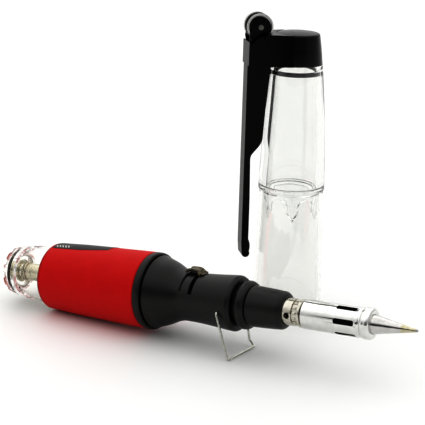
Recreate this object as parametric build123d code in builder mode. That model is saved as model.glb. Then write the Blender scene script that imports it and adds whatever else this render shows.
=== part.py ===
from build123d import *
import os
from math import cos, sin, radians

# A gas soldering torch and its cap, in mm. The torch lies along +x on the heel of its grip and
# on its wire stand, nose up by a few degrees. Its cap stands upright on its open mouth beside
# it, on the +y side. z = 0 is the surface that both rest on, and -y is the near side.
#
# Torch outlines are (s, r): distance along the torch axis, radius from it.
# Cap outlines are (r, z): radius from the cap's axis, height.
# Clip and striker outlines are (rho, z): distance from the cap's axis towards the clip, height.

os.makedirs("parts", exist_ok=True)

# ---------------------------------------------------------------- driving dimensions
# torch placement
torch_tilt = 3.79  # degrees, nose up
torch_x, torch_y, torch_z = -58.081, -21.43, 11.488  # torch axis at the rear of the grip (s = 0)

# tank and filler valve
tank_r = 10.45  # clear tank under the grip
tank_bore_r = 9.1
tail_s = -19.0  # rear end of the clear tail
tail_rib_count = 10
valve_r = 3.0  # barrel of the filler valve
valve_fit_r = valve_r + 0.02  # parts that sit on the barrel
valve_rear_s = -17.9
refill_r, refill_len = 2.1, 1.5  # socket in the rear of the valve
stem_hole_r = 1.05

# grip and housing
grip_end_s = 39.45
grip_bore_r = 10.55
grip_edge = 0.4  # length of the bevel at the front of the grip
label_thickness = 0.07
lock_ring_r = 13.0  # the widest place
housing_waist_r = 8.15
housing_lip_r = 9.15
housing_bore_r = 6.8

# gas lever and its slot
slot_s = 58.6  # centre of the slot
slot_w = 1.5
slot_half = 63.0  # degrees each side of the top
lever_half = 1.3  # half width of the strip
curl_centre = (60.6, 9.15)
curl_r, curl_hole_r = 0.78, 0.38

# wire stand
pivot_s, pivot_drop = 69.9, 0.95  # holes in the housing, below the torch axis
stand_wire_r = 0.38
stand_hole_r = 0.43
leg_end = 7.1  # wire ends, sideways from the torch axis
leg_out = 9.7  # legs at the pivot, sideways from the torch axis

# burner and tip
burner_r = 4.4
air_hole_r = 1.0
sleeve_r = 4.8
sleeve_bore_r = 3.98
exhaust_slot_count = 6
tip_s = 135.9  # point of the soldering tip

# cap
cap_x, cap_y = 8.554, 22.38
cap_h = 88.4  # height of the clear tube
cap_joint_z = cap_h + 0.03  # lower edge of the black top
finger_count = 6  # sprung fingers of the snap ring

# clip
clip_azimuth = 223.0  # degrees, direction of the clip from the cap's axis
clip_half = 2.9  # half width of the blade
clip_out = 17.65  # outer face of the block and upper blade
block_in = 3.2  # inner end of the block, before the seat is cut
block_half = 4.6  # half width of the block at its outer end

# flint and striker; half widths are measured along the axle
flint_rho = 14.0
flint_tube_r, flint_bore_r = 2.2, 1.5
wheel_rho, wheel_z, wheel_r = 13.7, 101.05, 4.45
wheel_bore_r = 0.95
wheel_out = 2.95  # outer face of a thumb wheel
wheel_thickness, dish_depth = 1.37, 0.6
bracket_z, bracket_thickness = 95.48, 0.5  # base plate
ear_out, ear_in = 3.45, 3.0  # outer and inner faces of the ears

# ---------------------------------------------------------------- reference geometry
tilt = radians(torch_tilt)
along = Vector(cos(tilt), 0, sin(tilt))  # along the torch, towards the tip
upward = Vector(-sin(tilt), 0, cos(tilt))  # square to it, upwards
near = Vector(0, -1, 0)
torch_origin = Vector(torch_x, torch_y, torch_z)
torch_axis = Axis(torch_origin, along)
half_plane = Plane(origin=torch_origin, x_dir=along, z_dir=near)
pivot = torch_origin + along * pivot_s - upward * pivot_drop

cap_axis = Axis((cap_x, cap_y, 0), (0, 0, 1))
cap_half = Plane(origin=(cap_x, cap_y, 0), x_dir=(1, 0, 0), z_dir=near)

clip_cos, clip_sin = cos(radians(clip_azimuth)), sin(radians(clip_azimuth))
clip_dir = (clip_cos, clip_sin, 0)
axle_dir = (clip_sin, -clip_cos, 0)  # towards the far side
clip_side = Plane(origin=(cap_x, cap_y, 0), x_dir=clip_dir, z_dir=axle_dir)
flint_foot = Vector(cap_x + flint_rho * clip_cos, cap_y + flint_rho * clip_sin, 0)
axle_plane = Plane(
    origin=(cap_x + wheel_rho * clip_cos, cap_y + wheel_rho * clip_sin, wheel_z),
    x_dir=(0, 0, 1),
    z_dir=axle_dir,
)


def station(s):
    """Plane square to the torch at s, its x axis up and its y axis to the near side."""
    return Plane(origin=torch_origin + along * s, x_dir=upward, z_dir=along)


def radial(s, angle, radius=0.0):
    """Plane facing radially out of the torch, angle in degrees from the top to the near side."""
    outward = upward * cos(radians(angle)) + near * sin(radians(angle))
    return Plane(origin=torch_origin + along * s + outward * radius, x_dir=along, z_dir=outward)


def clip_level(z):
    """Horizontal plane on the cap's axis, its x axis towards the clip."""
    return Plane(origin=(cap_x, cap_y, z), x_dir=clip_dir, z_dir=(0, 0, 1))


def flint_level(z):
    """Horizontal plane centred on the flint, its x axis away from the cap."""
    return Plane(origin=flint_foot + Vector(0, 0, z), x_dir=clip_dir, z_dir=(0, 0, 1))


# ---------------------------------------------------------------- shared builders
def save(builder, name):
    part = builder.part
    part.label = name
    export_step(part, f"parts/{name}.step")


def save_turned(name, outline, plane=half_plane, axis=torch_axis):
    """Piece turned from one closed outline of straight lines."""
    with BuildPart() as piece:
        with BuildSketch(plane):
            with BuildLine():
                Polyline(*outline, close=True)
            make_face()
        revolve(axis=axis)
    save(piece, name)


def save_tube(name, plane, outer_r, inner_r, length):
    with BuildPart() as piece:
        with BuildSketch(plane):
            Circle(outer_r)
            Circle(inner_r, mode=Mode.SUBTRACT)
        extrude(amount=length)
    save(piece, name)


def save_o_ring(name, s, centre_r, cord_r):
    with BuildPart() as piece:
        with BuildSketch(half_plane):
            with Locations((s, centre_r)):
                Circle(cord_r)
        revolve(axis=torch_axis)
    save(piece, name)


def save_spring(name, start, direction, pitch, height, coil_r, wire_r):
    with BuildPart() as piece:
        with BuildLine():
            coil = Helix(
                pitch=pitch, height=height, radius=coil_r, center=start, direction=direction
            )
        with BuildSketch(Plane(origin=coil @ 0, z_dir=coil % 0)):
            Circle(wire_r)
        sweep()
    save(piece, name)


# ================================================================ torch: tank, filler valve
with BuildPart() as fuel_tank:
    with BuildSketch(half_plane):
        with BuildLine():
            Spline((-18.4, 8.0), (-16.0, 8.55), (-12.2, 9.2), (-5.0, 9.98), (-0.9, 10.3))
            Polyline(
                (-0.9, 10.3), (-0.6, tank_r), (37.8, tank_r), (37.8, tank_bore_r),
                (-2.0, tank_bore_r), (-10.5, 8.1), (-14.4, 6.9), (-14.4, 3.05), (-15.9, 3.05),
                (-15.9, 6.4), (-18.6, 6.4), (tail_s, 6.75), (tail_s, 7.3), (-18.4, 8.0),
            )
        make_face()
    revolve(axis=torch_axis)
    # radial ribs in the recess round the filler
    with BuildSketch(station(-18.3)):
        with PolarLocations(5.6, tail_rib_count):
            Rectangle(2.0, 0.9)
    extrude(amount=1.7)
    # notches in the rim between the ribs
    with BuildSketch(station(tail_s - 0.3)):
        with PolarLocations(7.0, tail_rib_count, start_angle=180 / tail_rib_count):
            Rectangle(2.6, 2.1)
    extrude(amount=1.3, mode=Mode.SUBTRACT)
save(fuel_tank, "fuel_tank")

save_turned("filler_valve_body", [
    (valve_rear_s, refill_r), (valve_rear_s, 3.9), (-17.6, 4.2), (-16.7, 4.2), (-16.42, 3.9),
    (-16.42, valve_r), (-10.6, valve_r), (-10.45, 2.85), (-10.2, 2.85), (-10.05, valve_r),
    (-4.8, valve_r), (-4.5, 2.7), (-4.5, 2.0), (-12.0, 2.0), (-12.0, stem_hole_r),
    (valve_rear_s + refill_len, stem_hole_r), (valve_rear_s + refill_len, refill_r),
])

save_tube("filler_gasket", station(-16.40), outer_r=5.9, inner_r=valve_fit_r, length=0.48)

# hexagon with a thin round collar in front
nut_s, nut_hex_len = -14.38, 1.2
with BuildPart() as filler_nut:
    with BuildSketch(station(nut_s)):
        RegularPolygon(3.9, 6)
        Circle(valve_fit_r, mode=Mode.SUBTRACT)
    extrude(amount=nut_hex_len)
    with BuildSketch(station(nut_s + nut_hex_len)):
        Circle(3.35)
        Circle(valve_fit_r, mode=Mode.SUBTRACT)
    extrude(amount=0.5)
save(filler_nut, "filler_nut")

save_turned("filler_stem", [
    (-16.25, 0), (-16.25, 0.8), (-16.05, 1.0), (-11.38, 1.0), (-11.38, 1.8), (-10.6, 1.8),
    (-10.6, 0.85), (-8.4, 0.85), (-8.0, 0.5), (-8.0, 0),
])

save_tube("filler_stem_seal", station(-11.98), outer_r=1.85, inner_r=1.03, length=0.58)

save_spring(
    "filler_spring", start=torch_origin + along * (-10.35), direction=along,
    pitch=0.95, height=4.75, coil_r=1.35, wire_r=0.18,
)

save_tube("filler_spring_cap", station(-5.3), outer_r=1.98, inner_r=0.7, length=0.8)

# ================================================================ torch: grip
with BuildPart() as grip_sleeve:
    with BuildSketch(half_plane):
        with BuildLine():
            ThreePointArc((-1.3, grip_bore_r), (-0.85, 11.15), (0.35, 11.48))
            Spline(
                (0.35, 11.48), (5.0, 11.75), (11.0, 12.08), (20.0, 12.4), (30.0, 12.72),
                (grip_end_s - grip_edge, 12.95),
            )
            Polyline(
                (grip_end_s - grip_edge, 12.95), (grip_end_s, 12.6), (grip_end_s, grip_bore_r),
                (-1.3, grip_bore_r),
            )
        make_face()
    revolve(axis=torch_axis)
save(grip_sleeve, "grip_sleeve")

# thin printed label that follows the grip, narrowing towards the nose
label_inner = [
    (0.4, 11.515), (5.0, 11.78), (11.0, 12.11), (20.0, 12.43), (30.0, 12.75), (36.0, 12.9),
]
label_outer = [(s, radius + label_thickness) for s, radius in reversed(label_inner)]
# label seen from above: distance along the torch, distance to the far side
label_patch = [
    (0.0, -2.9), (0.5, -3.3), (6.0, -3.45), (12.0, -3.4), (16.0, -2.9), (19.5, -2.3),
    (22.4, -1.75), (22.9, -1.2), (22.9, 7.6), (22.3, 8.2), (0.9, 8.2), (0.0, 7.6),
]
with BuildPart() as grip_label:
    with BuildSketch(half_plane):
        with BuildLine():
            Spline(*label_inner)
            Line(label_inner[-1], label_outer[0])
            Spline(*label_outer)
            Line(label_outer[-1], label_inner[0])
        make_face()
    revolve(axis=torch_axis)
    with BuildSketch(Plane(origin=torch_origin, x_dir=along, z_dir=upward)):
        Polygon(*label_patch, align=None)
    extrude(amount=20, mode=Mode.INTERSECT)
save(grip_label, "grip_label")

# ================================================================ torch: tank front, gas outlet
save_turned("tank_plug", [
    (33.5, 4.05), (33.5, 8.6), (33.9, 9.05), (35.2, 9.05), (35.2, 8.2), (36.6, 8.2),
    (36.6, 9.05), (37.85, 9.05), (37.85, 10.4), (39.4, 10.4), (39.4, 4.05),
])

save_o_ring("tank_seal", s=35.9, centre_r=8.63, cord_r=0.42)

save_tube("fuel_wick", station(2.0), outer_r=1.3, inner_r=0.7, length=29.4)

save_turned("regulator_body", [
    (29.0, 1.35), (29.0, 2.2), (31.5, 2.2), (31.5, 3.6), (31.9, 4.0), (36.3, 4.0),
    (36.3, 3.2), (37.5, 3.2), (37.5, 4.0), (44.1, 4.0), (44.1, 5.3), (45.6, 5.3),
    (45.6, 3.0), (54.0, 3.0), (54.0, 1.3), (41.0, 1.3), (39.2, 0.45), (31.5, 0.45),
    (31.5, 1.35),
])

save_o_ring("regulator_o_ring", s=36.9, centre_r=3.62, cord_r=0.38)

# ================================================================ torch: lock ring, housing
save_turned("lock_ring", [
    (39.5, grip_bore_r), (39.5, 12.75), (39.75, lock_ring_r), (41.45, 12.95), (41.9, 12.5),
    (41.9, grip_bore_r),
])

# sector over the lever's arc, reaching outside the housing: (up, near side)
slot_sector = [(0, 0)] + [
    (12 * cos(radians(angle)), 12 * sin(radians(angle)))
    for angle in (-slot_half, -40, -15, 15, 40, slot_half)
]
with BuildPart() as main_housing:
    with BuildSketch(half_plane):
        with BuildLine():
            Polyline(
                (grip_end_s, 4.05), (grip_end_s, 10.5), (41.95, 10.5), (41.95, 11.5),
                (42.75, 11.5), (42.75, 12.15),
            )
            Spline(
                (42.75, 12.15), (43.4, 11.85), (46.1, 11.0), (48.2, 10.15), (50.2, 9.2),
                (52.0, 8.55), (55.0, housing_waist_r),
            )
            Spline(
                (55.0, housing_waist_r), (60.0, 8.25), (66.0, 8.65), (70.0, 9.0),
                (72.2, housing_lip_r),
            )
            ThreePointArc((72.2, housing_lip_r), (73.3, 8.85), (73.8, 8.2))
            Polyline(
                (73.8, 8.2), (73.8, housing_bore_r), (52.5, housing_bore_r), (50.0, 7.5),
                (47.0, 8.9), (44.05, 9.6), (44.05, 4.05), (grip_end_s, 4.05),
            )
        make_face()
    revolve(axis=torch_axis)
    # shallow groove behind the lever's slot, over the same arc
    with BuildSketch(station(54.3)):
        Polygon(*slot_sector, align=None)
        Circle(7.6, mode=Mode.SUBTRACT)
    extrude(amount=1.0, mode=Mode.SUBTRACT)
    # slot that the gas lever swings in, with round ends
    with BuildSketch(station(slot_s - slot_w / 2)):
        Polygon(*slot_sector, align=None)
    extrude(amount=slot_w, mode=Mode.SUBTRACT)
    for angle in (slot_half, -slot_half):
        with BuildSketch(radial(slot_s, angle, 4.0)):
            Circle(slot_w / 2)
        extrude(amount=7, mode=Mode.SUBTRACT)
    # two holes for the ends of the wire stand, drilled from the far side right through
    with BuildSketch(Plane(origin=pivot - near * 12, x_dir=(1, 0, 0), z_dir=near)):
        Circle(stand_hole_r)
    extrude(amount=24, mode=Mode.SUBTRACT)
save(main_housing, "main_housing")

# ================================================================ torch: gas control
save_turned("lever_hub", [
    (49.0, 3.05), (49.0, 5.0), (55.5, 5.0), (55.5, 5.7), (60.3, 5.7), (60.3, 1.1),
    (54.3, 1.1), (54.3, 3.05),
])

# bent strip: foot on the hub, neck through the slot, arch over the housing, curled front end
with BuildPart() as gas_lever:
    with BuildSketch(half_plane):
        with BuildLine():
            Polyline(
                (58.1, 5.75), (58.1, 9.65), (55.7, 9.65), (54.9, 9.3), (54.2, 8.72),
                (53.6, 8.62), (53.4, 8.95), (54.4, 9.75), (55.4, 10.12), (58.4, 10.15),
                (59.3, 9.95), (60.0, 9.35), (59.75, 8.95), (59.3, 9.3), (59.1, 9.5),
                (59.1, 5.75), close=True,
            )
        make_face()
    extrude(amount=lever_half, both=True)
    with BuildSketch(half_plane):
        with Locations(curl_centre):
            Circle(curl_r)
            Circle(curl_hole_r, mode=Mode.SUBTRACT)
    extrude(amount=lever_half, both=True)
    # clears the strip out of the curl's hole
    with BuildSketch(half_plane):
        with Locations(curl_centre):
            Circle(curl_hole_r)
    extrude(amount=2.5, both=True, mode=Mode.SUBTRACT)
save(gas_lever, "gas_lever")

save_turned("gas_needle", [
    (39.9, 0), (39.9, 0.2), (41.3, 1.0), (58.8, 1.0), (59.2, 0.7), (59.2, 0),
])

save_turned("bulkhead", [
    (61.2, 1.55), (61.2, 6.4), (61.6, 6.75), (64.2, 6.75), (64.2, 3.2), (67.0, 3.2),
    (67.0, 1.55),
])

save_tube("gas_tube", station(61.2), outer_r=1.5, inner_r=0.9, length=26.8)

save_turned("injector_jet", [
    (86.0, 1.53), (86.0, 3.25), (87.5, 3.25), (87.5, 2.4), (90.0, 2.0), (90.8, 1.2),
    (90.8, 0.25), (88.02, 0.25), (88.02, 1.53),
])

# ================================================================ torch: nose, burner and tip
save_turned("nose_collar", [
    (69.5, 5.5), (69.5, 6.75), (74.0, 6.75), (74.0, 6.95), (75.4, 6.95), (75.5, 7.7),
    (75.75, 7.95), (76.5, 7.95), (77.1, 7.85), (77.6, 7.6), (78.0, 7.15), (78.2, 6.6),
    (78.2, 5.5),
])

with BuildPart() as nose_cone:
    with BuildSketch(half_plane):
        with BuildLine():
            Polyline(
                (90.9, 4.45), (73.0, 4.45), (73.0, 5.45), (78.25, 5.45), (78.25, 6.35),
                (78.6, 6.72),
            )
            Spline((78.6, 6.72), (82.0, 6.58), (86.0, 6.4), (89.0, 6.2))
            ThreePointArc((89.0, 6.2), (90.35, 5.75), (90.9, 4.9))
            Line((90.9, 4.9), (90.9, 4.45))
        make_face()
    revolve(axis=torch_axis)
save(nose_cone, "nose_cone")

with BuildPart() as burner_tube:
    with BuildSketch(half_plane):
        with BuildLine():
            Polyline(
                (74.0, 3.3), (74.0, burner_r), (93.95, burner_r), (94.1, 3.7), (95.85, 3.7),
                (96.0, 4.5), (96.9, 4.5), (97.05, 4.2), (97.05, 3.95), (103.5, 3.95),
                (103.8, 3.7), (103.8, 3.3), close=True,
            )
        make_face()
    revolve(axis=torch_axis)
    # knurl beads in the grip groove
    with BuildSketch(station(94.4)):
        with PolarLocations(3.84, 14):
            Circle(0.42)
    extrude(amount=1.2)
    # two primary air holes, one each side
    for angle in (91, -89):
        with BuildSketch(radial(92.6, angle)):
            Circle(air_hole_r)
        extrude(amount=7, mode=Mode.SUBTRACT)
save(burner_tube, "burner_tube")

save_tube("sleeve_gasket", station(97.12), outer_r=4.15, inner_r=sleeve_bore_r, length=0.36)

with BuildPart() as tip_sleeve:
    with BuildSketch(half_plane):
        with BuildLine():
            Polyline(
                (97.5, sleeve_bore_r), (97.5, 4.6), (97.7, sleeve_r), (117.3, sleeve_r),
                (117.55, 4.62), (117.95, 4.62),
            )
            ThreePointArc((117.95, 4.62), (118.45, 4.96), (119.1, 5.02))
            Line((119.1, 5.02), (120.0, 5.02))
            ThreePointArc((120.0, 5.02), (120.8, 4.72), (121.1, 4.0))
            Polyline(
                (121.1, 4.0), (121.1, 3.15), (120.4, 3.15), (120.4, 4.15), (104.0, 4.15),
                (104.0, sleeve_bore_r), (97.5, sleeve_bore_r),
            )
        make_face()
    revolve(axis=torch_axis)
    # exhaust slots with rounded corners
    for k in range(exhaust_slot_count):
        with BuildSketch(radial(112.7, 20 + 360 / exhaust_slot_count * k)):
            RectangleRounded(7.0, 1.75, 0.6)
        extrude(amount=7, mode=Mode.SUBTRACT)
save(tip_sleeve, "tip_sleeve")

save_tube("catalyst", station(106.5), outer_r=3.85, inner_r=3.05, length=10.6)

save_turned("soldering_tip", [
    (105.5, 1.4), (105.5, 3.0), (118.5, 3.0), (118.5, 4.05), (120.3, 4.05), (120.3, 3.08),
    (121.3, 3.08), (135.5, 0.42), (tip_s, 0), (112.0, 0), (112.0, 1.4),
])

# ================================================================ torch: wire stand
# from the near hole down to the foot bar, across it, and up the cranked far leg
wire_start = (pivot.X, torch_y - leg_end, pivot.Z)
with BuildPart() as wire_stand:
    with BuildLine():
        FilletPolyline(
            wire_start,
            (pivot.X, torch_y - leg_out, pivot.Z),
            (pivot.X + 5.225, torch_y - 9.9, stand_wire_r),
            (pivot.X + 5.625, torch_y + 6.3, stand_wire_r),
            (pivot.X + 3.525, torch_y + 6.9, 1.9),
            (pivot.X + 2.825, torch_y + 6.9, 5.2),
            (pivot.X + 2.2, torch_y + leg_out, 9.6),
            (pivot.X, torch_y + leg_out, pivot.Z),
            (pivot.X, torch_y + leg_end, pivot.Z),
            radius=0.7,
        )
    with BuildSketch(Plane(origin=wire_start, z_dir=near)):
        Circle(stand_wire_r)
    sweep()
save(wire_stand, "wire_stand")

# ================================================================ cap: tube, rings, black top
with BuildPart() as cap_tube:
    with BuildSketch(cap_half):
        with BuildLine():
            # outside, upwards from the mouth
            Spline((12.05, 0.3), (11.85, 10.0), (11.45, 24.0), (11.1, 36.0), (11.0, 44.8))
            Polyline((11.0, 44.8), (11.4, 45.1), (11.42, 47.0))
            Spline(
                (11.42, 47.0), (11.1, 55.0), (10.7, 63.0), (10.15, 73.0), (9.35, 83.0),
                (8.75, cap_h),
            )
            # step at the top, then the inside downwards
            Polyline((8.75, cap_h), (7.95, cap_h), (7.95, 91.5), (7.0, 91.5), (7.0, 86.6))
            Spline(
                (7.0, 86.6), (7.1, 83.0), (7.5, 73.0), (8.0, 63.0), (8.35, 55.0), (8.6, 46.2),
            )
            Polyline((8.6, 46.2), (10.15, 46.2), (9.9, 44.0))
            Spline((9.9, 44.0), (10.05, 36.0), (10.4, 24.0), (10.8, 10.0), (11.05, 0.3))
            Polyline((11.05, 0.3), (11.3, 0.0), (11.8, 0.0), (12.05, 0.3))
        make_face()
    revolve(axis=cap_axis)
save(cap_tube, "cap_tube")

# lower part of a window between two fingers: (sideways, z)
window_half, window_arch_z = 2.85, 40.6
window = [
    (-window_half, window_arch_z), (window_half, window_arch_z), (2.95, 38.4), (4.4, 35.5),
    (4.4, 34.0), (-4.4, 34.0), (-4.4, 35.5), (-2.95, 38.4),
]
with BuildPart() as cap_snap_ring:
    with BuildSketch(cap_half):
        with BuildLine():
            Polyline(
                (7.6, 46.0), (10.05, 46.0), (9.8, 44.05), (9.35, 44.0), (9.35, 36.2),
                (9.1, 35.3), (8.75, 35.3), (8.5, 36.2), (8.5, 43.8), (7.6, 44.6), close=True,
            )
        make_face()
    revolve(axis=cap_axis)
    # arched windows leave sprung fingers with tapered ends
    for k in range(finger_count):
        azimuth = radians(clip_azimuth + 49.5 + 360 / finger_count * k)
        window_plane = Plane(
            origin=(cap_x, cap_y, 0),
            x_dir=(-sin(azimuth), cos(azimuth), 0),
            z_dir=(cos(azimuth), sin(azimuth), 0),
        )
        with BuildSketch(window_plane):
            Polygon(*window, align=None)
            with Locations((0, window_arch_z)):
                Ellipse(window_half, 2.1)
        extrude(amount=9.5, mode=Mode.SUBTRACT)
save(cap_snap_ring, "cap_snap_ring")

save_turned(
    "cap_buffer_ring", [(6.5, 85.0), (6.98, 85.0), (6.96, 86.1), (6.5, 86.1)],
    plane=cap_half, axis=cap_axis,
)

with BuildPart() as cap_top:
    with BuildSketch(cap_half):
        with BuildLine():
            Polyline(
                (8.0, cap_joint_z), (8.7, cap_joint_z), (8.35, 92.0), (7.75, 96.5), (7.5, 98.0),
            )
            ThreePointArc((7.5, 98.0), (7.35, 98.45), (6.9, 98.75))
            Spline((6.9, 98.75), (5.2, 99.02), (3.5, 99.2), (1.5, 99.3), (0.0, 99.32))
            Polyline(
                (0.0, 99.32), (0.0, 96.6), (6.0, 96.4), (6.6, 95.8), (7.0, 91.6), (8.0, 91.55),
                (8.0, cap_joint_z),
            )
        make_face()
    revolve(axis=cap_axis)
save(cap_top, "cap_top")

# ================================================================ cap: clip and flint
with BuildPart() as pocket_clip:
    # block beside the black top: as wide as the top where they meet, drafted like it,
    # narrower at its outer end
    for z, inner_half in ((88.3, 8.27), (98.8, 7.11)):
        with BuildSketch(clip_level(z)):
            Polygon(
                (block_in, inner_half), (clip_out, block_half),
                (clip_out, -block_half), (block_in, -inner_half), align=None,
            )
    loft()
    # its upper edge falls away towards the outside
    with BuildSketch(clip_side):
        with BuildLine():
            Polyline(
                (12.1, 98.78), (2.0, 98.75), (2.0, 88.0), (18.0, 88.0), (18.0, 95.7),
                (17.5, 96.15), (17.3, 96.15), (17.0, 95.75), (16.5, 95.93),
            )
            Spline(
                (16.5, 95.93), (15.4, 97.02), (13.8, 98.15), (12.1, 98.78),
                tangents=((-0.7, 0.7), (-1, 0.1)),
            )
        make_face()
    extrude(amount=10, both=True, mode=Mode.INTERSECT)
    # blade, thick down to the foot of the flint tube and then springy, with a rounded catch
    # at its end
    with BuildSketch(clip_side):
        with BuildLine():
            Polyline(
                (17.35, 22.8), (17.6, 26.0), (clip_out, 60.0), (clip_out, 88.6), (9.55, 88.6),
                (9.75, 86.5), (10.95, 73.0), (11.5, 63.8),
            )
            Spline(
                (11.5, 63.8), (12.7, 60.5), (14.7, 58.2), (15.55, 55.8),
                tangents=((0.05, -1), (0.02, -1)),
            )
            Polyline((15.55, 55.8), (15.25, 41.8), (15.2, 27.8))
            ThreePointArc((15.2, 27.8), (14.6, 25.3), (14.85, 23.5))
            ThreePointArc((14.85, 23.5), (16.0, 21.4), (17.35, 22.8))
        make_face()
    extrude(amount=clip_half, both=True)
    # seat against the round black top
    with BuildSketch(cap_half):
        with BuildLine():
            Polyline(
                (0, 85), (8.8, 85), (8.8, cap_h), (8.4, 92.0), (7.8, 96.5), (7.55, 98.0),
                (7.3, 98.7), (7.3, 100), (0, 100), close=True,
            )
        make_face()
    revolve(axis=cap_axis, mode=Mode.SUBTRACT)
    # bore for the flint tube
    with BuildSketch(flint_level(58.0)):
        Circle(flint_tube_r + 0.02)
    extrude(amount=42, mode=Mode.SUBTRACT)
    # pocket that the wheels turn in
    with BuildSketch(clip_side):
        with Locations((wheel_rho, wheel_z)):
            Circle(wheel_r + 0.3)
        with Locations((14.85, 98.4)):
            Rectangle(4.9, 5.9)
    extrude(amount=3.5, both=True, mode=Mode.SUBTRACT)
save(pocket_clip, "pocket_clip")

save_tube(
    "flint_tube", flint_level(63.0), outer_r=flint_tube_r, inner_r=flint_bore_r, length=32.4
)

# plug in the foot of the flint tube, slotted underneath
screw_z = 62.9
with BuildPart() as flint_screw:
    with BuildSketch(flint_level(screw_z)):
        Circle(flint_bore_r - 0.03)
    extrude(amount=4.2)
    with BuildSketch(flint_level(screw_z)):
        Rectangle(3.2, 0.5)
    extrude(amount=0.8, mode=Mode.SUBTRACT)
save(flint_screw, "flint_screw")

save_spring(
    "flint_spring", start=flint_foot + Vector(0, 0, 67.4), direction=(0, 0, 1),
    pitch=1.55, height=24.8, coil_r=1.15, wire_r=0.2,
)

with BuildPart() as flint:
    with BuildSketch(flint_level(92.6)):
        Circle(1.3)
    extrude(amount=4.9)
save(flint, "flint")

# ================================================================ cap: striker
ear_gap_h = 12.0  # height of the cut between the ears
with BuildPart() as striker_bracket:
    # base plate
    with BuildSketch(clip_level(bracket_z)):
        with Locations((14.85, 0)):
            Rectangle(4.7, 2 * ear_out)
    extrude(amount=bracket_thickness)
    # two round ears that carry the axle, with arms down to the base
    with BuildSketch(clip_side):
        with BuildLine():
            Polyline(
                (12.5, bracket_z), (17.2, bracket_z), (17.2, 96.3), (17.45, 97.6), (17.2, 99.8),
                (16.6, wheel_z), (11.0, wheel_z), (11.6, 99.0), (12.5, 97.0), close=True,
            )
        make_face()
        with Locations((wheel_rho, wheel_z)):
            Circle(3.5)
            Circle(0.93, mode=Mode.SUBTRACT)
    extrude(amount=ear_out, both=True)
    # open the space between the ears, above the base plate
    with BuildSketch(clip_side):
        with Locations((wheel_rho, bracket_z + bracket_thickness + ear_gap_h / 2)):
            Rectangle(14, ear_gap_h)
    extrude(amount=ear_in, both=True, mode=Mode.SUBTRACT)
    # the flint comes up through the base
    with BuildSketch(flint_level(95.0)):
        Circle(1.45)
    extrude(amount=2.0, mode=Mode.SUBTRACT)
save(striker_bracket, "striker_bracket")

with BuildPart() as striker_axle:
    with BuildSketch(axle_plane):
        Circle(0.9)
    extrude(amount=3.8, both=True)
save(striker_axle, "striker_axle")

with BuildPart() as flint_wheel:
    with BuildSketch(axle_plane):
        Circle(3.35)
        with PolarLocations(3.4, 36):
            Rectangle(0.42, 0.28, mode=Mode.SUBTRACT)
        Circle(wheel_bore_r, mode=Mode.SUBTRACT)
    extrude(amount=1.5, both=True)
save(flint_wheel, "flint_wheel")


def save_thumb_wheel(name, wheel_start, dish_start):
    """Wheel toothed at the rim and dished; starts are distances along the axle."""
    with BuildPart() as wheel:
        with BuildSketch(axle_plane.offset(wheel_start)):
            Circle(wheel_r)
            with PolarLocations(wheel_r, 40):
                Rectangle(0.34, 0.28, mode=Mode.SUBTRACT)
            Circle(wheel_bore_r, mode=Mode.SUBTRACT)
        extrude(amount=wheel_thickness)
        with BuildSketch(axle_plane.offset(dish_start)):
            Circle(3.9)
            Circle(1.6, mode=Mode.SUBTRACT)
        extrude(amount=dish_depth, mode=Mode.SUBTRACT)
    save(wheel, name)


# chromed, one each side of the flint wheel, dished on their outer faces
save_thumb_wheel("thumb_wheel_near", wheel_start=-wheel_out, dish_start=-wheel_out)
save_thumb_wheel(
    "thumb_wheel_far", wheel_start=wheel_out - wheel_thickness, dish_start=wheel_out - dish_depth
)
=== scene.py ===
import math

import bmesh
import bpy
from mathutils import Matrix, Vector


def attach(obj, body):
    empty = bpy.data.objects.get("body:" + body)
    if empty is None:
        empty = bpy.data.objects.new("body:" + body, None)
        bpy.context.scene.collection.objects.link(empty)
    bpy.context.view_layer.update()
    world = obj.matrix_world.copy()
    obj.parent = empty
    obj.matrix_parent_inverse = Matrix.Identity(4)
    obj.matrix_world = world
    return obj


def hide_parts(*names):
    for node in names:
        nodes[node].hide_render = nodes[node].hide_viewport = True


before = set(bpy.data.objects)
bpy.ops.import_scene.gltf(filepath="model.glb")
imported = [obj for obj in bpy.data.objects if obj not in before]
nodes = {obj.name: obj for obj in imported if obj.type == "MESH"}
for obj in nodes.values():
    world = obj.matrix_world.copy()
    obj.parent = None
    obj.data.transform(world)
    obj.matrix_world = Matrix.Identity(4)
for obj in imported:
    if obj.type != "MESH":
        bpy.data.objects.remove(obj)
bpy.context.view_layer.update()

scene = bpy.context.scene
MM = 0.001

# ------------------------------------------------------------------ the frame of the part, in mm
TILT = math.radians(3.79)
D = Vector((math.cos(TILT), 0, math.sin(TILT)))  # along the torch, to its tip
U = Vector((-math.sin(TILT), 0, math.cos(TILT)))  # up, square to the torch
N = Vector((0, -1, 0))  # to the near side
P0 = Vector((-58.081, -21.43, 11.488))
CAP = Vector((8.554, 22.38, 0))
CLIP_AZ = math.radians(223)
CR = Vector((math.cos(CLIP_AZ), math.sin(CLIP_AZ), 0))  # from the cap's axis to the clip
CT = Vector((math.sin(CLIP_AZ), -math.cos(CLIP_AZ), 0))  # along the striker's axle


def tor(s, phi, r):
    """A point of the torch in mm: s along it, phi in degrees from the top to the near side, r from its axis."""
    a = math.radians(phi)
    return P0 + D * s + (U * math.cos(a) + N * math.sin(a)) * r


def cap(phi, r, z):
    a = math.radians(phi)
    return CAP + Vector((math.cos(a) * r, math.sin(a) * r, z))


def lin(r, g, b):
    """sRGB 0-255 to linear."""
    out = []
    for v in (r, g, b):
        v /= 255
        out.append(v / 12.92 if v <= 0.04045 else ((v + 0.055) / 1.055) ** 2.4)
    return (*out, 1.0)


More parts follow.
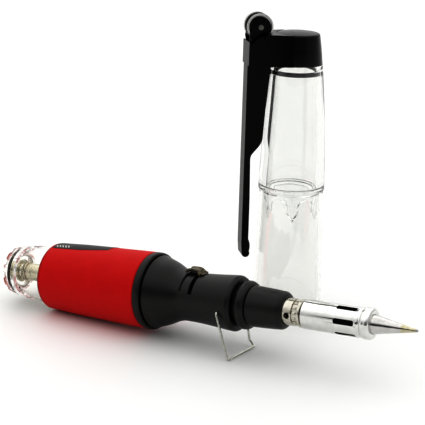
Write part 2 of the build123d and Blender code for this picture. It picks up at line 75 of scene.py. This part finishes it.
# ------------------------------------------------------------------ materials
class Mat:
    """A small helper that builds a node tree."""

    def __init__(self, name):
        self.m = bpy.data.materials.new(name)
        self.m.use_nodes = True
        self.t = self.m.node_tree
        self.t.nodes.clear()
        self.out = self.n("ShaderNodeOutputMaterial")
        self.b = self.n("ShaderNodeBsdfPrincipled")
        self.link(self.b.outputs[0], self.out.inputs[0])
        self.co = self.n("ShaderNodeTexCoord").outputs["Object"]

    def n(self, kind, **props):
        node = self.t.nodes.new(kind)
        for k, v in props.items():
            setattr(node, k, v)
        return node

    def link(self, a, b):
        self.t.links.new(a, b)

    def set(self, **kw):
        for k, v in kw.items():
            self.b.inputs[k.replace("_", " ")].default_value = v

    def along(self, axis, origin, k=1000.0):
        """A value that grows by 1 each mm (times k/1000) along an axis from origin (mm)."""
        sub = self.n("ShaderNodeVectorMath", operation="SUBTRACT")
        self.link(self.co, sub.inputs[0])
        sub.inputs[1].default_value = origin * MM
        dot = self.n("ShaderNodeVectorMath", operation="DOT_PRODUCT")
        self.link(sub.outputs[0], dot.inputs[0])
        dot.inputs[1].default_value = axis * k
        return dot.outputs["Value"]

    def noise(self, scale, detail=3.0, rough=0.5, vec=None, dims="3D", w=None, distortion=0.0):
        """Noise with its scale in features per mm."""
        t = self.n("ShaderNodeTexNoise", noise_dimensions=dims)
        t.inputs["Scale"].default_value = scale * 1000 if vec is None and w is None else scale
        t.inputs["Detail"].default_value = detail
        t.inputs["Roughness"].default_value = rough
        t.inputs["Distortion"].default_value = distortion
        if dims != "1D":
            self.link(vec if vec is not None else self.co, t.inputs["Vector"])
        if w is not None:
            self.link(w, t.inputs["W"])
        return t.outputs["Fac"]

    def ramp(self, fac, *stops, mode="LINEAR"):
        r = self.n("ShaderNodeValToRGB")
        r.color_ramp.interpolation = mode
        e = r.color_ramp.elements
        while len(e) < len(stops):
            e.new(0.5)
        for el, (pos, col) in zip(e, stops):
            el.position = pos
            el.color = col if len(col) == 4 else (*col, 1)
        self.link(fac, r.inputs[0])
        return r.outputs[0]

    def span(self, fac, lo, hi, a=0.0, b=1.0):
        r = self.n("ShaderNodeMapRange")
        r.inputs["From Min"].default_value = lo
        r.inputs["From Max"].default_value = hi
        r.inputs["To Min"].default_value = a
        r.inputs["To Max"].default_value = b
        self.link(fac, r.inputs["Value"])
        return r.outputs[0]

    def mix(self, fac, a, b):
        x = self.n("ShaderNodeMix", data_type="RGBA")
        if isinstance(fac, float):
            x.inputs[0].default_value = fac
        else:
            self.link(fac, x.inputs[0])
        for sock, v in ((x.inputs[6], a), (x.inputs[7], b)):
            if isinstance(v, tuple):
                sock.default_value = v
            else:
                self.link(v, sock)
        return x.outputs[2]

    def math(self, op, a, b=None, c=None):
        x = self.n("ShaderNodeMath", operation=op)
        for sock, v in zip(x.inputs, (a, b, c)):
            if v is None:
                continue
            if isinstance(v, (int, float)):
                sock.default_value = v
            else:
                self.link(v, sock)
        return x.outputs[0]

    def bump(self, height, strength, distance=0.02):
        """Bump with its full depth in mm."""
        x = self.n("ShaderNodeBump")
        x.inputs["Strength"].default_value = strength
        x.inputs["Distance"].default_value = distance * MM
        self.link(height, x.inputs["Height"])
        if self.b.inputs["Normal"].links:
            self.link(self.b.inputs["Normal"].links[0].from_socket, x.inputs["Normal"])
        self.link(x.outputs[0], self.b.inputs["Normal"])

    def color(self, sock):
        self.link(sock, self.b.inputs["Base Color"])

    def rough(self, sock):
        self.link(sock, self.b.inputs["Roughness"])


def plastic(name, dark, light, rough_lo, rough_hi, grain=6.0, bump=0.012, mottling=0.25, spec=0.5, coat=0.0):
    """Moulded plastic: faint flow mottling, fine surface grain, uneven gloss."""
    m = Mat(name)
    m.color(m.mix(m.span(m.noise(mottling, 4), 0.3, 0.7), dark, light))
    m.rough(m.span(m.noise(grain * 0.35, 5), 0.3, 0.7, rough_lo, rough_hi))
    m.bump(m.noise(grain, 3), 0.6, bump)
    m.set(Specular_IOR_Level=spec, Coat_Weight=coat, Coat_Roughness=0.05)
    return m.m


def metal(name, a, b, rough_lo, rough_hi, turned=None, wear=0.6, bump=0.004, spots=None):
    """Metal with cloudy tone, small scratches, and turning marks round the given axis (direction, origin)."""
    m = Mat(name)
    col = m.mix(m.span(m.noise(wear, 5), 0.3, 0.7), a, b)
    if spots:
        col = m.mix(m.span(m.noise(1.6, 6, 0.7), 0.62, 0.72), col, spots)
    m.color(col)
    m.set(Metallic=1.0)
    m.rough(m.span(m.noise(wear * 3, 6, 0.65), 0.3, 0.7, rough_lo, rough_hi))
    if turned:
        w = m.along(turned[0], turned[1])
        m.bump(m.noise(7.0, 2, 0.6, dims="1D", w=w), 0.5, bump)
    else:
        m.bump(m.noise(9.0, 3), 0.4, bump)
    return m.m


def clear(name, tint, rough, ior=1.49, waves=0.12, wave_depth=0.02, painted_rim_reflection=None):
    """Clear moulded plastic: slow thickness waves, faint haze; lamps pass through it."""
    m = Mat(name)
    m.set(Base_Color=tint, Transmission_Weight=1.0, IOR=ior)
    col = m.mix(m.span(m.noise(0.08, 2), 0.3, 0.7), tint, tuple(min(1, c * 1.02) for c in tint))
    if painted_rim_reflection:  # painted reflection: the red of the sleeve, in patches on the rear rim
        rim = m.span(m.math("ADD", m.along(D, P0), m.math("MULTIPLY", m.noise(0.5, 2), 0.8)), -16.6, -17.3)
        col = m.mix(m.math("MULTIPLY", rim, m.span(m.noise(0.22, 2), 0.42, 0.50)), col, painted_rim_reflection)
    m.color(col)
    m.rough(m.span(m.noise(0.5, 4), 0.3, 0.7, rough * 0.5, rough * 1.5))
    m.bump(m.noise(waves, 2), 0.5, wave_depth)
    path = m.n("ShaderNodeLightPath")
    see = m.n("ShaderNodeBsdfTransparent")
    see.inputs[0].default_value = tuple(0.90 * c for c in tint[:3]) + (1,)
    mix = m.n("ShaderNodeMixShader")
    both = m.math("MAXIMUM", path.outputs["Is Shadow Ray"], path.outputs["Is Diffuse Ray"])
    m.link(both, mix.inputs[0])
    m.link(m.b.outputs[0], mix.inputs[1])
    m.link(see.outputs[0], mix.inputs[2])
    m.link(mix.outputs[0], m.out.inputs[0])
    return m.m


TORCH_AX = (D, P0)
M = {}
M["clear"] = clear("clear_plastic", (0.925, 0.928, 0.917, 1), 0.012, ior=1.57)
M["clear_inner"] = clear("clear_ring_plastic", (0.985, 0.988, 0.983, 1), 0.02, ior=1.42)
# the tail's clear plastic gets a painted reddish reflection of the red sleeve on its rear rim
M["clear_tank"] = clear("clear_tank_plastic", (0.985, 0.98, 0.965, 1), 0.010, ior=1.24, wave_depth=0.006, painted_rim_reflection=lin(172, 104, 98))
M["nickel"] = metal("nickel", lin(212, 207, 188), lin(190, 184, 164), 0.18, 0.30, TORCH_AX)
M["nickel_warm"] = metal("nickel_warm", lin(216, 213, 203), lin(192, 189, 178), 0.14, 0.26, TORCH_AX, bump=0.006)
M["chrome"] = metal("chrome", lin(232, 232, 230), lin(219, 219, 216), 0.07, 0.13, TORCH_AX, wear=0.4, bump=0.002)
M["chrome_wheel"] = metal("chrome_wheel", lin(196, 196, 194), lin(150, 150, 148), 0.10, 0.20, bump=0.002)
M["brass"] = metal("brass", lin(170, 138, 76), lin(132, 104, 54), 0.2, 0.34, TORCH_AX)
M["steel_wire"] = metal("steel_wire", lin(222, 222, 214), lin(186, 186, 178), 0.20, 0.30)
M["steel_dark"] = metal("steel_dark", lin(30, 30, 30), lin(18, 18, 18), 0.28, 0.42)
M["steel_mid"] = metal("steel_mid", lin(120, 120, 116), lin(96, 96, 92), 0.3, 0.45)
M["lever_steel"] = metal("lever_steel", lin(122, 115, 96), lin(66, 60, 46), 0.16, 0.28)
M["black_matte"] = plastic("black_matte", lin(9, 9, 8), lin(15, 14, 13), 0.32, 0.42, grain=5.0, bump=0.009, spec=0.45)
M["black_gloss"] = plastic("black_gloss", lin(1, 1, 1), lin(2, 2, 2), 0.16, 0.26, grain=3.0, bump=0.003, spec=0.12)
M["black_top"] = plastic("black_top", lin(1, 1, 1), lin(2, 2, 2), 0.17, 0.26, grain=3.0, bump=0.003, spec=0.24)
M["black_satin"] = plastic("black_satin", lin(16, 17, 16), lin(22, 23, 21), 0.30, 0.40, grain=4.0, bump=0.005, spec=0.3)
M["rubber"] = plastic("black_rubber", lin(12, 12, 12), lin(17, 17, 17), 0.6, 0.7, grain=4.0, spec=0.2)
M["wick"] = plastic("wick_felt", lin(222, 218, 206), lin(204, 198, 184), 0.8, 0.95, grain=3.0, bump=0.06)
M["ceramic"] = plastic("ceramic", lin(14, 12, 11), lin(24, 20, 17), 0.8, 0.95, grain=3.0, bump=0.05, spec=0.1)
M["flint"] = metal("flint_grey", lin(90, 88, 86), lin(64, 62, 60), 0.4, 0.6)


def red_material():
    """Soft-touch rubber: fine grain, and painted shade that darkens the rear edge where it rounds over and turns away
    from the light.
    """
    m = Mat("red_rubber")
    base = m.mix(m.span(m.noise(0.25, 4), 0.3, 0.7), lin(202, 2, 5), lin(207, 3, 7))
    # painted shade: the red darkens towards the rounded rear edge of the sleeve
    s = m.math("ADD", m.along(D, P0), m.math("MULTIPLY", m.noise(0.6, 2), 0.3))
    m.color(m.mix(m.span(s, -0.9, 0.5), lin(84, 4, 6), base))
    m.rough(m.span(m.noise(1.8, 5), 0.3, 0.7, 0.5, 0.62))
    m.bump(m.noise(5.0, 3), 0.6, 0.010)
    m.set(Specular_IOR_Level=0.2)
    return m.m


def label_material():
    """Printed film: plain satin black with a small generic mark of slanted pale bars near its rear end."""
    m = Mat("label_film")
    base = m.mix(m.span(m.noise(0.3, 4), 0.3, 0.7), lin(6, 6, 6), lin(11, 12, 11))
    s = m.along(D, P0)
    y = m.along(Vector((0, 1, 0)), P0)
    slant = m.math("ADD", s, m.math("MULTIPLY", y, 0.7))
    wave = m.math("SINE", m.math("MULTIPLY", slant, 5.2))
    bars = m.span(wave, -0.15, 0.1)
    inside = m.math("MULTIPLY", m.math("MULTIPLY", m.span(s, 1.0, 1.25), m.span(s, 7.2, 6.9)),
                    m.math("MULTIPLY", m.span(y, -2.75, -2.55), m.span(y, -0.9, -1.1)))
    m.color(m.mix(m.math("MULTIPLY", bars, m.math("MULTIPLY", inside, 0.85)), base, lin(205, 206, 200)))
    m.rough(m.span(m.noise(1.2, 5), 0.3, 0.7, 0.3, 0.42))
    m.bump(m.noise(4.0, 3), 0.5, 0.004)
    m.set(Specular_IOR_Level=0.22)
    return m.m



def gasket_material():
    """Ring of dark olive rubber, pale on its inner side."""
    m = Mat("gasket_rubber")
    sub = m.n("ShaderNodeVectorMath", operation="SUBTRACT")
    m.link(m.co, sub.inputs[0])
    sub.inputs[1].default_value = P0 * MM
    cross = m.n("ShaderNodeVectorMath", operation="CROSS_PRODUCT")
    m.link(sub.outputs[0], cross.inputs[0])
    cross.inputs[1].default_value = D * 1000
    size = m.n("ShaderNodeVectorMath", operation="LENGTH")
    m.link(cross.outputs[0], size.inputs[0])
    dark = m.mix(m.span(m.noise(0.7, 4), 0.3, 0.7), lin(34, 32, 24), lin(62, 58, 46))
    pale = m.mix(m.span(m.noise(0.7, 4), 0.3, 0.7), lin(236, 234, 226), lin(246, 245, 240))
    m.color(m.mix(m.span(size.outputs["Value"], 6.04, 6.12), pale, dark))
    m.rough(m.span(m.noise(1.8, 5), 0.3, 0.7, 0.5, 0.65))
    m.bump(m.noise(4.0, 3), 0.5, 0.01)
    m.set(Specular_IOR_Level=0.2)
    return m.m


M["gasket"] = gasket_material()
M["red"] = red_material()
M["label"] = label_material()


def tip_material():
    m = Mat("tip_metal")
    s = m.along(D, P0)
    base = m.mix(m.span(m.noise(0.5, 5), 0.3, 0.7), lin(216, 214, 212), lin(196, 194, 192))
    gold = m.mix(m.span(m.noise(0.9, 5), 0.3, 0.7), lin(208, 203, 180), lin(184, 178, 150))
    tinned = m.mix(m.span(m.math("ADD", s, m.math("MULTIPLY", m.noise(0.9, 3), 0.8)), 130.6, 131.1), base, gold)
    m.color(m.mix(m.span(s, 134.6, 135.4), tinned, lin(168, 166, 162)))
    m.set(Metallic=1.0)
    m.rough(m.span(m.noise(1.4, 6, 0.65), 0.3, 0.7, 0.12, 0.24))
    m.bump(m.noise(6.0, 2, 0.6, dims="1D", w=s), 0.5, 0.004)
    return m.m


M["tip"] = tip_material()

LOOK = {
    "fuel_tank": "clear_tank", "filler_valve_body": "nickel", "filler_gasket": "rubber", "filler_nut": "nickel",
    "filler_stem": "nickel_warm", "filler_stem_seal": "rubber", "filler_spring": "steel_wire", "filler_spring_cap": "brass",
    "grip_sleeve": "red", "grip_label": "label", "tank_plug": "black_satin", "tank_seal": "rubber",
    "fuel_wick": "wick", "regulator_body": "brass", "regulator_o_ring": "rubber", "lock_ring": "black_matte",
    "main_housing": "black_matte", "lever_hub": "black_satin", "gas_lever": "lever_steel", "gas_needle": "brass",
    "bulkhead": "black_satin", "gas_tube": "brass", "injector_jet": "brass", "nose_collar": "black_matte",
    "nose_cone": "black_matte", "burner_tube": "nickel_warm", "sleeve_gasket": "rubber", "tip_sleeve": "chrome",
    "catalyst": "ceramic", "soldering_tip": "tip", "wire_stand": "steel_wire", "cap_tube": "clear",
    "cap_snap_ring": "clear_inner", "cap_buffer_ring": "rubber", "cap_top": "black_top", "pocket_clip": "black_gloss",
    "flint_tube": "brass", "flint_screw": "brass", "flint_spring": "steel_wire", "flint": "flint",
    "striker_bracket": "steel_dark", "striker_axle": "steel_mid", "flint_wheel": "steel_dark",
    "thumb_wheel_near": "chrome_wheel", "thumb_wheel_far": "chrome_wheel",
}
for name, ob in nodes.items():
    mat = M[LOOK[name]]
    if not ob.material_slots:
        ob.data.materials.append(mat)
    for slot in ob.material_slots:
        slot.material = mat

# ------------------------------------------------------------------ broken edges on the moulded and turned pieces
BEVEL = {
    "grip_sleeve": 0.12, "lock_ring": 0.18, "main_housing": 0.14, "nose_collar": 0.16, "nose_cone": 0.16, "burner_tube": 0.06,
    "tip_sleeve": 0.07, "cap_top": 0.10, "pocket_clip": 0.28, "striker_bracket": 0.05,
    "filler_valve_body": 0.06, "filler_nut": 0.08, "soldering_tip": 0.05, "thumb_wheel_near": 0.05,
    "thumb_wheel_far": 0.05, "striker_axle": 0.12,
}
for name, width in BEVEL.items():
    ob = nodes[name]
    weld = ob.modifiers.new("weld", "WELD")
    weld.merge_threshold = 0.000002
    bev = ob.modifiers.new("edge", "BEVEL")
    bev.width = width * MM
    bev.segments = 2
    bev.limit_method = "ANGLE"
    bev.angle_limit = math.radians(35)
    bev.use_clamp_overlap = True
    bev.harden_normals = False
    bev.miter_outer = "MITER_ARC"
    wn_mod = ob.modifiers.new("normals", "WEIGHTED_NORMAL")
    wn_mod.keep_sharp = True

# ------------------------------------------------------------------ clear mouldings, turned as smooth closed shells
def curve_through(pts, n=8):
    """Points of a smooth curve through the given ones."""
    ext = [tuple(2 * p - q for p, q in zip(pts[0], pts[1]))] + list(pts) + [tuple(2 * p - q for p, q in zip(pts[-1], pts[-2]))]
    out = []
    for a, b, c, d in zip(ext, ext[1:], ext[2:], ext[3:]):
        for k in range(n):
            t = k / n
            out.append(tuple(0.5 * (2 * q + (r - p) * t + (2 * p - 5 * q + 4 * r - w) * t * t + (3 * q - p - 3 * r + w) * t ** 3)
                             for p, q, r, w in zip(a, b, c, d)))
    out.append(tuple(pts[-1]))
    return out


def rounded(pts, radii, n=4):
    """A closed outline with the corner at each index in radii rounded to that radius."""
    out = []
    count = len(pts)
    for i, p in enumerate(pts):
        r = radii.get(i)
        if not r:
            out.append(tuple(p))
            continue
        p = Vector(p)
        a, b = Vector(pts[i - 1]) - p, Vector(pts[(i + 1) % count]) - p
        half = a.angle(b) / 2
        cut = min(r / math.tan(half), a.length * 0.45, b.length * 0.45)
        a, b = p + a.normalized() * cut, p + b.normalized() * cut
        for k in range(n + 1):
            t = k / n
            out.append(tuple(a * (1 - t) ** 2 + p * 2 * t * (1 - t) + b * t * t))
    return out


def turned(name, outline, origin, axis, ref, mat, body, slot, stands_for, seg=192, warp=None, sharp=50):
    """Turns a closed outline of (along, radius) in mm round an axis into one closed shell."""
    side = axis.cross(ref)
    shape = bmesh.new()
    rings = []
    for i in range(seg):
        a = 2 * math.pi * i / seg
        e = ref * math.cos(a) + side * math.sin(a)
        ring = []
        for along, r in outline:
            if warp:
                along, r = warp(along, r, a)
            ring.append(shape.verts.new((origin + axis * along + e * r) * MM))
        rings.append(ring)
    n = len(outline)
    for i in range(seg):
        p, q = rings[i], rings[(i + 1) % seg]
        for j in range(n):
            k = (j + 1) % n
            shape.faces.new((p[j], p[k], q[k], q[j]))
    bmesh.ops.recalc_face_normals(shape, faces=shape.faces)
    for f in shape.faces:
        f.smooth = True
    for e in shape.edges:
        if len(e.link_faces) == 2 and e.calc_face_angle(0) > math.radians(sharp):
            e.smooth = False
    mesh = bpy.data.meshes.new(name)
    shape.to_mesh(mesh)
    shape.free()
    piece = bpy.data.objects.new(name, mesh)
    scene.collection.objects.link(piece)
    mesh.materials.append(mat)
    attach(piece, body)
    if stands_for:
        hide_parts(stands_for)
    return piece


def step(x, lo, hi):
    t = min(1, max(0, (x - lo) / (hi - lo)))
    return t * t * (3 - 2 * t)


def tail_form(along, r, a):
    """Ten notches in the rim, with a shallow flute between each two in the wall of the recess."""
    cell = (math.degrees(a) % 36) - 18
    notch = 1 - step(abs(cell), 7.6, 9.4)
    along += 1.15 * notch * (1 - step(along, -18.55, -17.6))
    if -18.62 < along < -15.85 and 5.95 < r < 6.6:
        r += 0.22 * step(abs(cell), 12.5, 14.5)
    return along, r


outer = curve_through([(-18.4, 8.0), (-16.0, 8.55), (-12.2, 9.2), (-5.0, 9.98), (-0.9, 10.3)])
bore = curve_through([(-2.0, 9.1), (-8.0, 8.6), (-12.0, 7.7), (-13.6, 7.05)], 8)
outline = outer + [(-0.6, 10.45), (10, 10.45), (24, 10.45), (37.8, 10.45), (37.8, 9.1), (24, 9.1), (10, 9.1)] + bore
first = len(outline)
outline += [(-14.4, 6.5), (-14.4, 3.05), (-15.9, 3.05), (-15.9, 6.4), (-18.6, 6.4), (-19.0, 6.75), (-19.0, 7.3)]
outline = rounded(outline, {first: 0.5, first + 3: 0.25, first + 4: 0.2, first + 5: 0.2, first + 6: 0.35, 0: 0.2})
tank = turned("tank_shell", outline, P0, D, U, M["clear_tank"], "torch_body", "tank_plastic", "fuel_tank", seg=240, warp=tail_form)
outline = rounded([(-15.95, 5.75), (-15.95, 6.22), (-17.4, 6.22), (-17.4, 5.75)], {0: 0.08, 1: 0.08, 2: 0.15, 3: 0.15})
turned("tail_gasket", outline, P0, D, U, M["gasket"], "torch_body", "black_rubber", "filler_gasket", seg=96)

outer = curve_through([(0.3, 12.05), (10.0, 11.85), (24.0, 11.45), (36.0, 11.1), (44.8, 11.0)])
upper = curve_through([(47.0, 11.42), (55.0, 11.1), (63.0, 10.7), (73.0, 10.15), (83.0, 9.35), (88.4, 8.75)])
inner = [(86.25, 7.0), (86.25, 8.3), (84.95, 8.3)] + curve_through([(84.95, 7.05), (83.0, 7.1), (73.0, 7.5), (63.0, 8.0), (55.0, 8.35), (46.2, 8.6)])
mouth = curve_through([(44.0, 9.9), (36.0, 10.05), (24.0, 10.4), (10.0, 10.8), (0.3, 11.05)])
outline = outer + [(45.1, 11.4)] + upper + [(88.4, 7.95), (91.5, 7.95), (91.5, 7.0)] + inner + [(46.2, 10.15)] + mouth + [(0.0, 11.3), (0.0, 11.8)]
corner = {len(outer) - 1: 0.15, len(outer): 0.25, len(outline) - 1: 0.2, len(outline) - 2: 0.2}
corner[len(outer) + 1 + len(upper) + 3 + len(inner) - 1] = 0.3
outline = rounded(outline, corner)
shell = turned("cap_shell", outline, CAP, Vector((0, 0, 1)), CR, M["clear"], "cap_body", "clear_plastic", "cap_tube", seg=200)
outline = rounded([(85.0, 6.55), (86.2, 6.55), (86.2, 8.25), (85.0, 8.25)], {0: 0.4, 1: 0.4, 2: 0.1, 3: 0.1})
turned("buffer_ring", outline, CAP, Vector((0, 0, 1)), CR, M["rubber"], "cap_body", "black_rubber", "cap_buffer_ring", seg=128)

# ------------------------------------------------------------------ the gas lever's bent strip
def swept(shape, line, section):
    """Closed strip: a section of (across, up) in mm carried along a line of (along, radius) over the torch."""
    rings = []
    for i, (along, r) in enumerate(line):
        a, b = line[max(i - 1, 0)], line[min(i + 1, len(line) - 1)]
        t = Vector((b[0] - a[0], b[1] - a[1])).normalized()
        up = U * t.x - D * t.y
        at = P0 + D * along + U * r
        rings.append([shape.verts.new((at + N * x + up * y) * MM) for x, y in section])
    n = len(section)
    for p, q in zip(rings, rings[1:]):
        for j in range(n):
            k = (j + 1) % n
            shape.faces.new((p[j], p[k], q[k], q[j]))
    shape.faces.new(rings[0])
    shape.faces.new(rings[-1][::-1])


shape = bmesh.new()
strip = curve_through([(53.75, 8.5), (54.2, 9.05), (54.75, 9.55), (55.4, 9.72), (56.5, 9.76), (57.7, 9.72), (58.5, 9.5), (59.2, 9.05), (59.85, 8.62), (60.5, 8.45)], 5)
channel = rounded([(-1.6, -0.22), (1.6, -0.22), (1.6, 0.34), (1.2, 0.34), (1.0, 0.06), (-1.0, 0.06), (-1.2, 0.34), (-1.6, 0.34)],
                  {0: 0.1, 1: 0.1, 2: 0.14, 3: 0.14, 4: 0.1, 5: 0.1, 6: 0.14, 7: 0.14}, 3)
swept(shape, strip, channel)
swept(shape, [(58.6, 5.75), (58.6, 7.0), (58.6, 8.2), (58.6, 9.45)], rounded([(-1.3, -0.5), (1.3, -0.5), (1.3, 0.5), (-1.3, 0.5)], {0: 0.15, 1: 0.15, 2: 0.15, 3: 0.15}, 3))
bmesh.ops.recalc_face_normals(shape, faces=shape.faces)
for f in shape.faces:
    f.smooth = True
for e in shape.edges:
    if len(e.link_faces) == 2 and e.calc_face_angle(0) > math.radians(50):
        e.smooth = False
mesh = bpy.data.meshes.new("lever_strip")
shape.to_mesh(mesh)
shape.free()
lever = bpy.data.objects.new("lever_strip", mesh)
scene.collection.objects.link(lever)
mesh.materials.append(M["lever_steel"])
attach(lever, "lever_body")
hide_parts("gas_lever")

shape = bmesh.new()
swept(shape, [(56.75, 8.32), (56.75, 8.7), (56.75, 9.1), (56.75, 9.52)], rounded([(-1.25, -1.3), (1.25, -1.3), (1.25, 1.55), (-1.25, 1.55)], {0: 0.35, 1: 0.35, 2: 0.35, 3: 0.35}, 4))
bmesh.ops.recalc_face_normals(shape, faces=shape.faces)
for f in shape.faces:
    f.smooth = len(f.verts) == 4
mesh = bpy.data.meshes.new("lever_pad")
shape.to_mesh(mesh)
shape.free()
pad = bpy.data.objects.new("lever_pad", mesh)
scene.collection.objects.link(pad)
mesh.materials.append(M["black_satin"])
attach(pad, "lever_body")

# ------------------------------------------------------------------ floor, light, camera
fl = bmesh.new()
bmesh.ops.create_grid(fl, x_segments=8, y_segments=8, size=6.0)
fm = bpy.data.meshes.new("floor")
fl.to_mesh(fm)
fl.free()
floor = bpy.data.objects.new("floor", fm)
scene.collection.objects.link(floor)
floor.location = (0, 0, -0.00002)
m = Mat("floor_paper")
m.color(m.mix(m.span(m.noise(0.01, 3), 0.3, 0.7), (0.86, 0.86, 0.855, 1), (0.875, 0.875, 0.87, 1)))
m.set(Roughness=0.5, Specular_IOR_Level=0.2)
fm.materials.append(m.m)

world = bpy.data.worlds.new("studio")
scene.world = world
world.use_nodes = True
wt = world.node_tree
wt.nodes.clear()


def wn(kind, **props):
    node = wt.nodes.new(kind)
    for k, v in props.items():
        setattr(node, k, v)
    return node


def wmath(op, a, b=None):
    x = wn("ShaderNodeMath", operation=op)
    for sock, v in zip(x.inputs, (a, b)):
        if v is None:
            continue
        if isinstance(v, (int, float)):
            sock.default_value = v
        else:
            wt.links.new(v, sock)
    return x.outputs[0]


wout = wn("ShaderNodeOutputWorld")
wbg = wn("ShaderNodeBackground")
wt.links.new(wbg.outputs[0], wout.inputs[0])
wco = wn("ShaderNodeTexCoord").outputs["Generated"]


def wlobe(direction, lo, hi):
    """0 to 1 as a direction of the sky nears this one."""
    dot = wn("ShaderNodeVectorMath", operation="DOT_PRODUCT")
    wt.links.new(wco, dot.inputs[0])
    dot.inputs[1].default_value = Vector(direction).normalized()
    r = wn("ShaderNodeMapRange", interpolation_type="SMOOTHSTEP")
    r.inputs["From Min"].default_value = lo
    r.inputs["From Max"].default_value = hi
    wt.links.new(dot.outputs["Value"], r.inputs["Value"])
    return r.outputs[0]


WORLD_K = 0.80
FWD = Vector((-0.5150, 0.8572, 0))  # horizontal, from the camera to the object
RIGHT = Vector((0.8572, 0.5150, 0))
level = wmath("ADD", 0.60, wmath("MULTIPLY", wlobe((0, 0, 1), 0.20, 0.85), 0.80))  # ceiling softbox
level = wmath("ADD", level, wmath("MULTIPLY", wlobe(FWD * 0.9 + Vector((0, 0, 0.35)), 0.4, 0.9), 0.40))  # backdrop
level = wmath("ADD", level, wmath("MULTIPLY", wlobe(-RIGHT + Vector((0, 0, 0.25)), 0.72, 0.92), 0.15))
level = wmath("SUBTRACT", level, wmath("MULTIPLY", wlobe(-FWD + Vector((0, 0, 0.18)), 0.60, 0.93), 0.35))  # unlit side behind the camera
level = wmath("SUBTRACT", level, wmath("MULTIPLY", wlobe((-0.108, -0.93, 0.25), 0.945, 0.982), 0.45))  # dark doorway behind the camera
level = wmath("MULTIPLY", wmath("MAXIMUM", level, 0.0), WORLD_K)
wt.links.new(level, wbg.inputs["Strength"])
wbg.inputs["Color"].default_value = (1.0, 1.0, 0.995, 1)

cam_data = bpy.data.cameras.new("camera")
cam = bpy.data.objects.new("camera", cam_data)
scene.collection.objects.link(cam)
cam_data.sensor_fit = "HORIZONTAL"
cam_data.sensor_width = 36
cam_data.lens = 36 * 1500 / 425
cam_data.clip_start = 0.01
cam_data.clip_end = 50
pitch, roll = math.radians(15.645), math.radians(-1.765)
F = (FWD.normalized() * math.cos(pitch) - Vector((0, 0, math.sin(pitch)))).normalized()
R0 = RIGHT.normalized()
D0 = F.cross(R0)
R1 = R0 * math.cos(roll) + D0 * math.sin(roll)
D1 = -R0 * math.sin(roll) + D0 * math.cos(roll)
cam.matrix_world = Matrix(((R1.x, -D1.x, -F.x, 0.243348), (R1.y, -D1.y, -F.y, -0.420524), (R1.z, -D1.z, -F.z, 0.175439), (0, 0, 0, 1)))
scene.camera = cam

scene.view_settings.view_transform = "Standard"
scene.view_settings.look = "None"
scene.view_settings.exposure = 0.32
scene.view_settings.gamma = 0.667  # the contrast of a product photograph
scene.cycles.max_bounces = 24
scene.cycles.transmission_bounces = 24
scene.cycles.transparent_max_bounces = 32
scene.cycles.glossy_bounces = 8
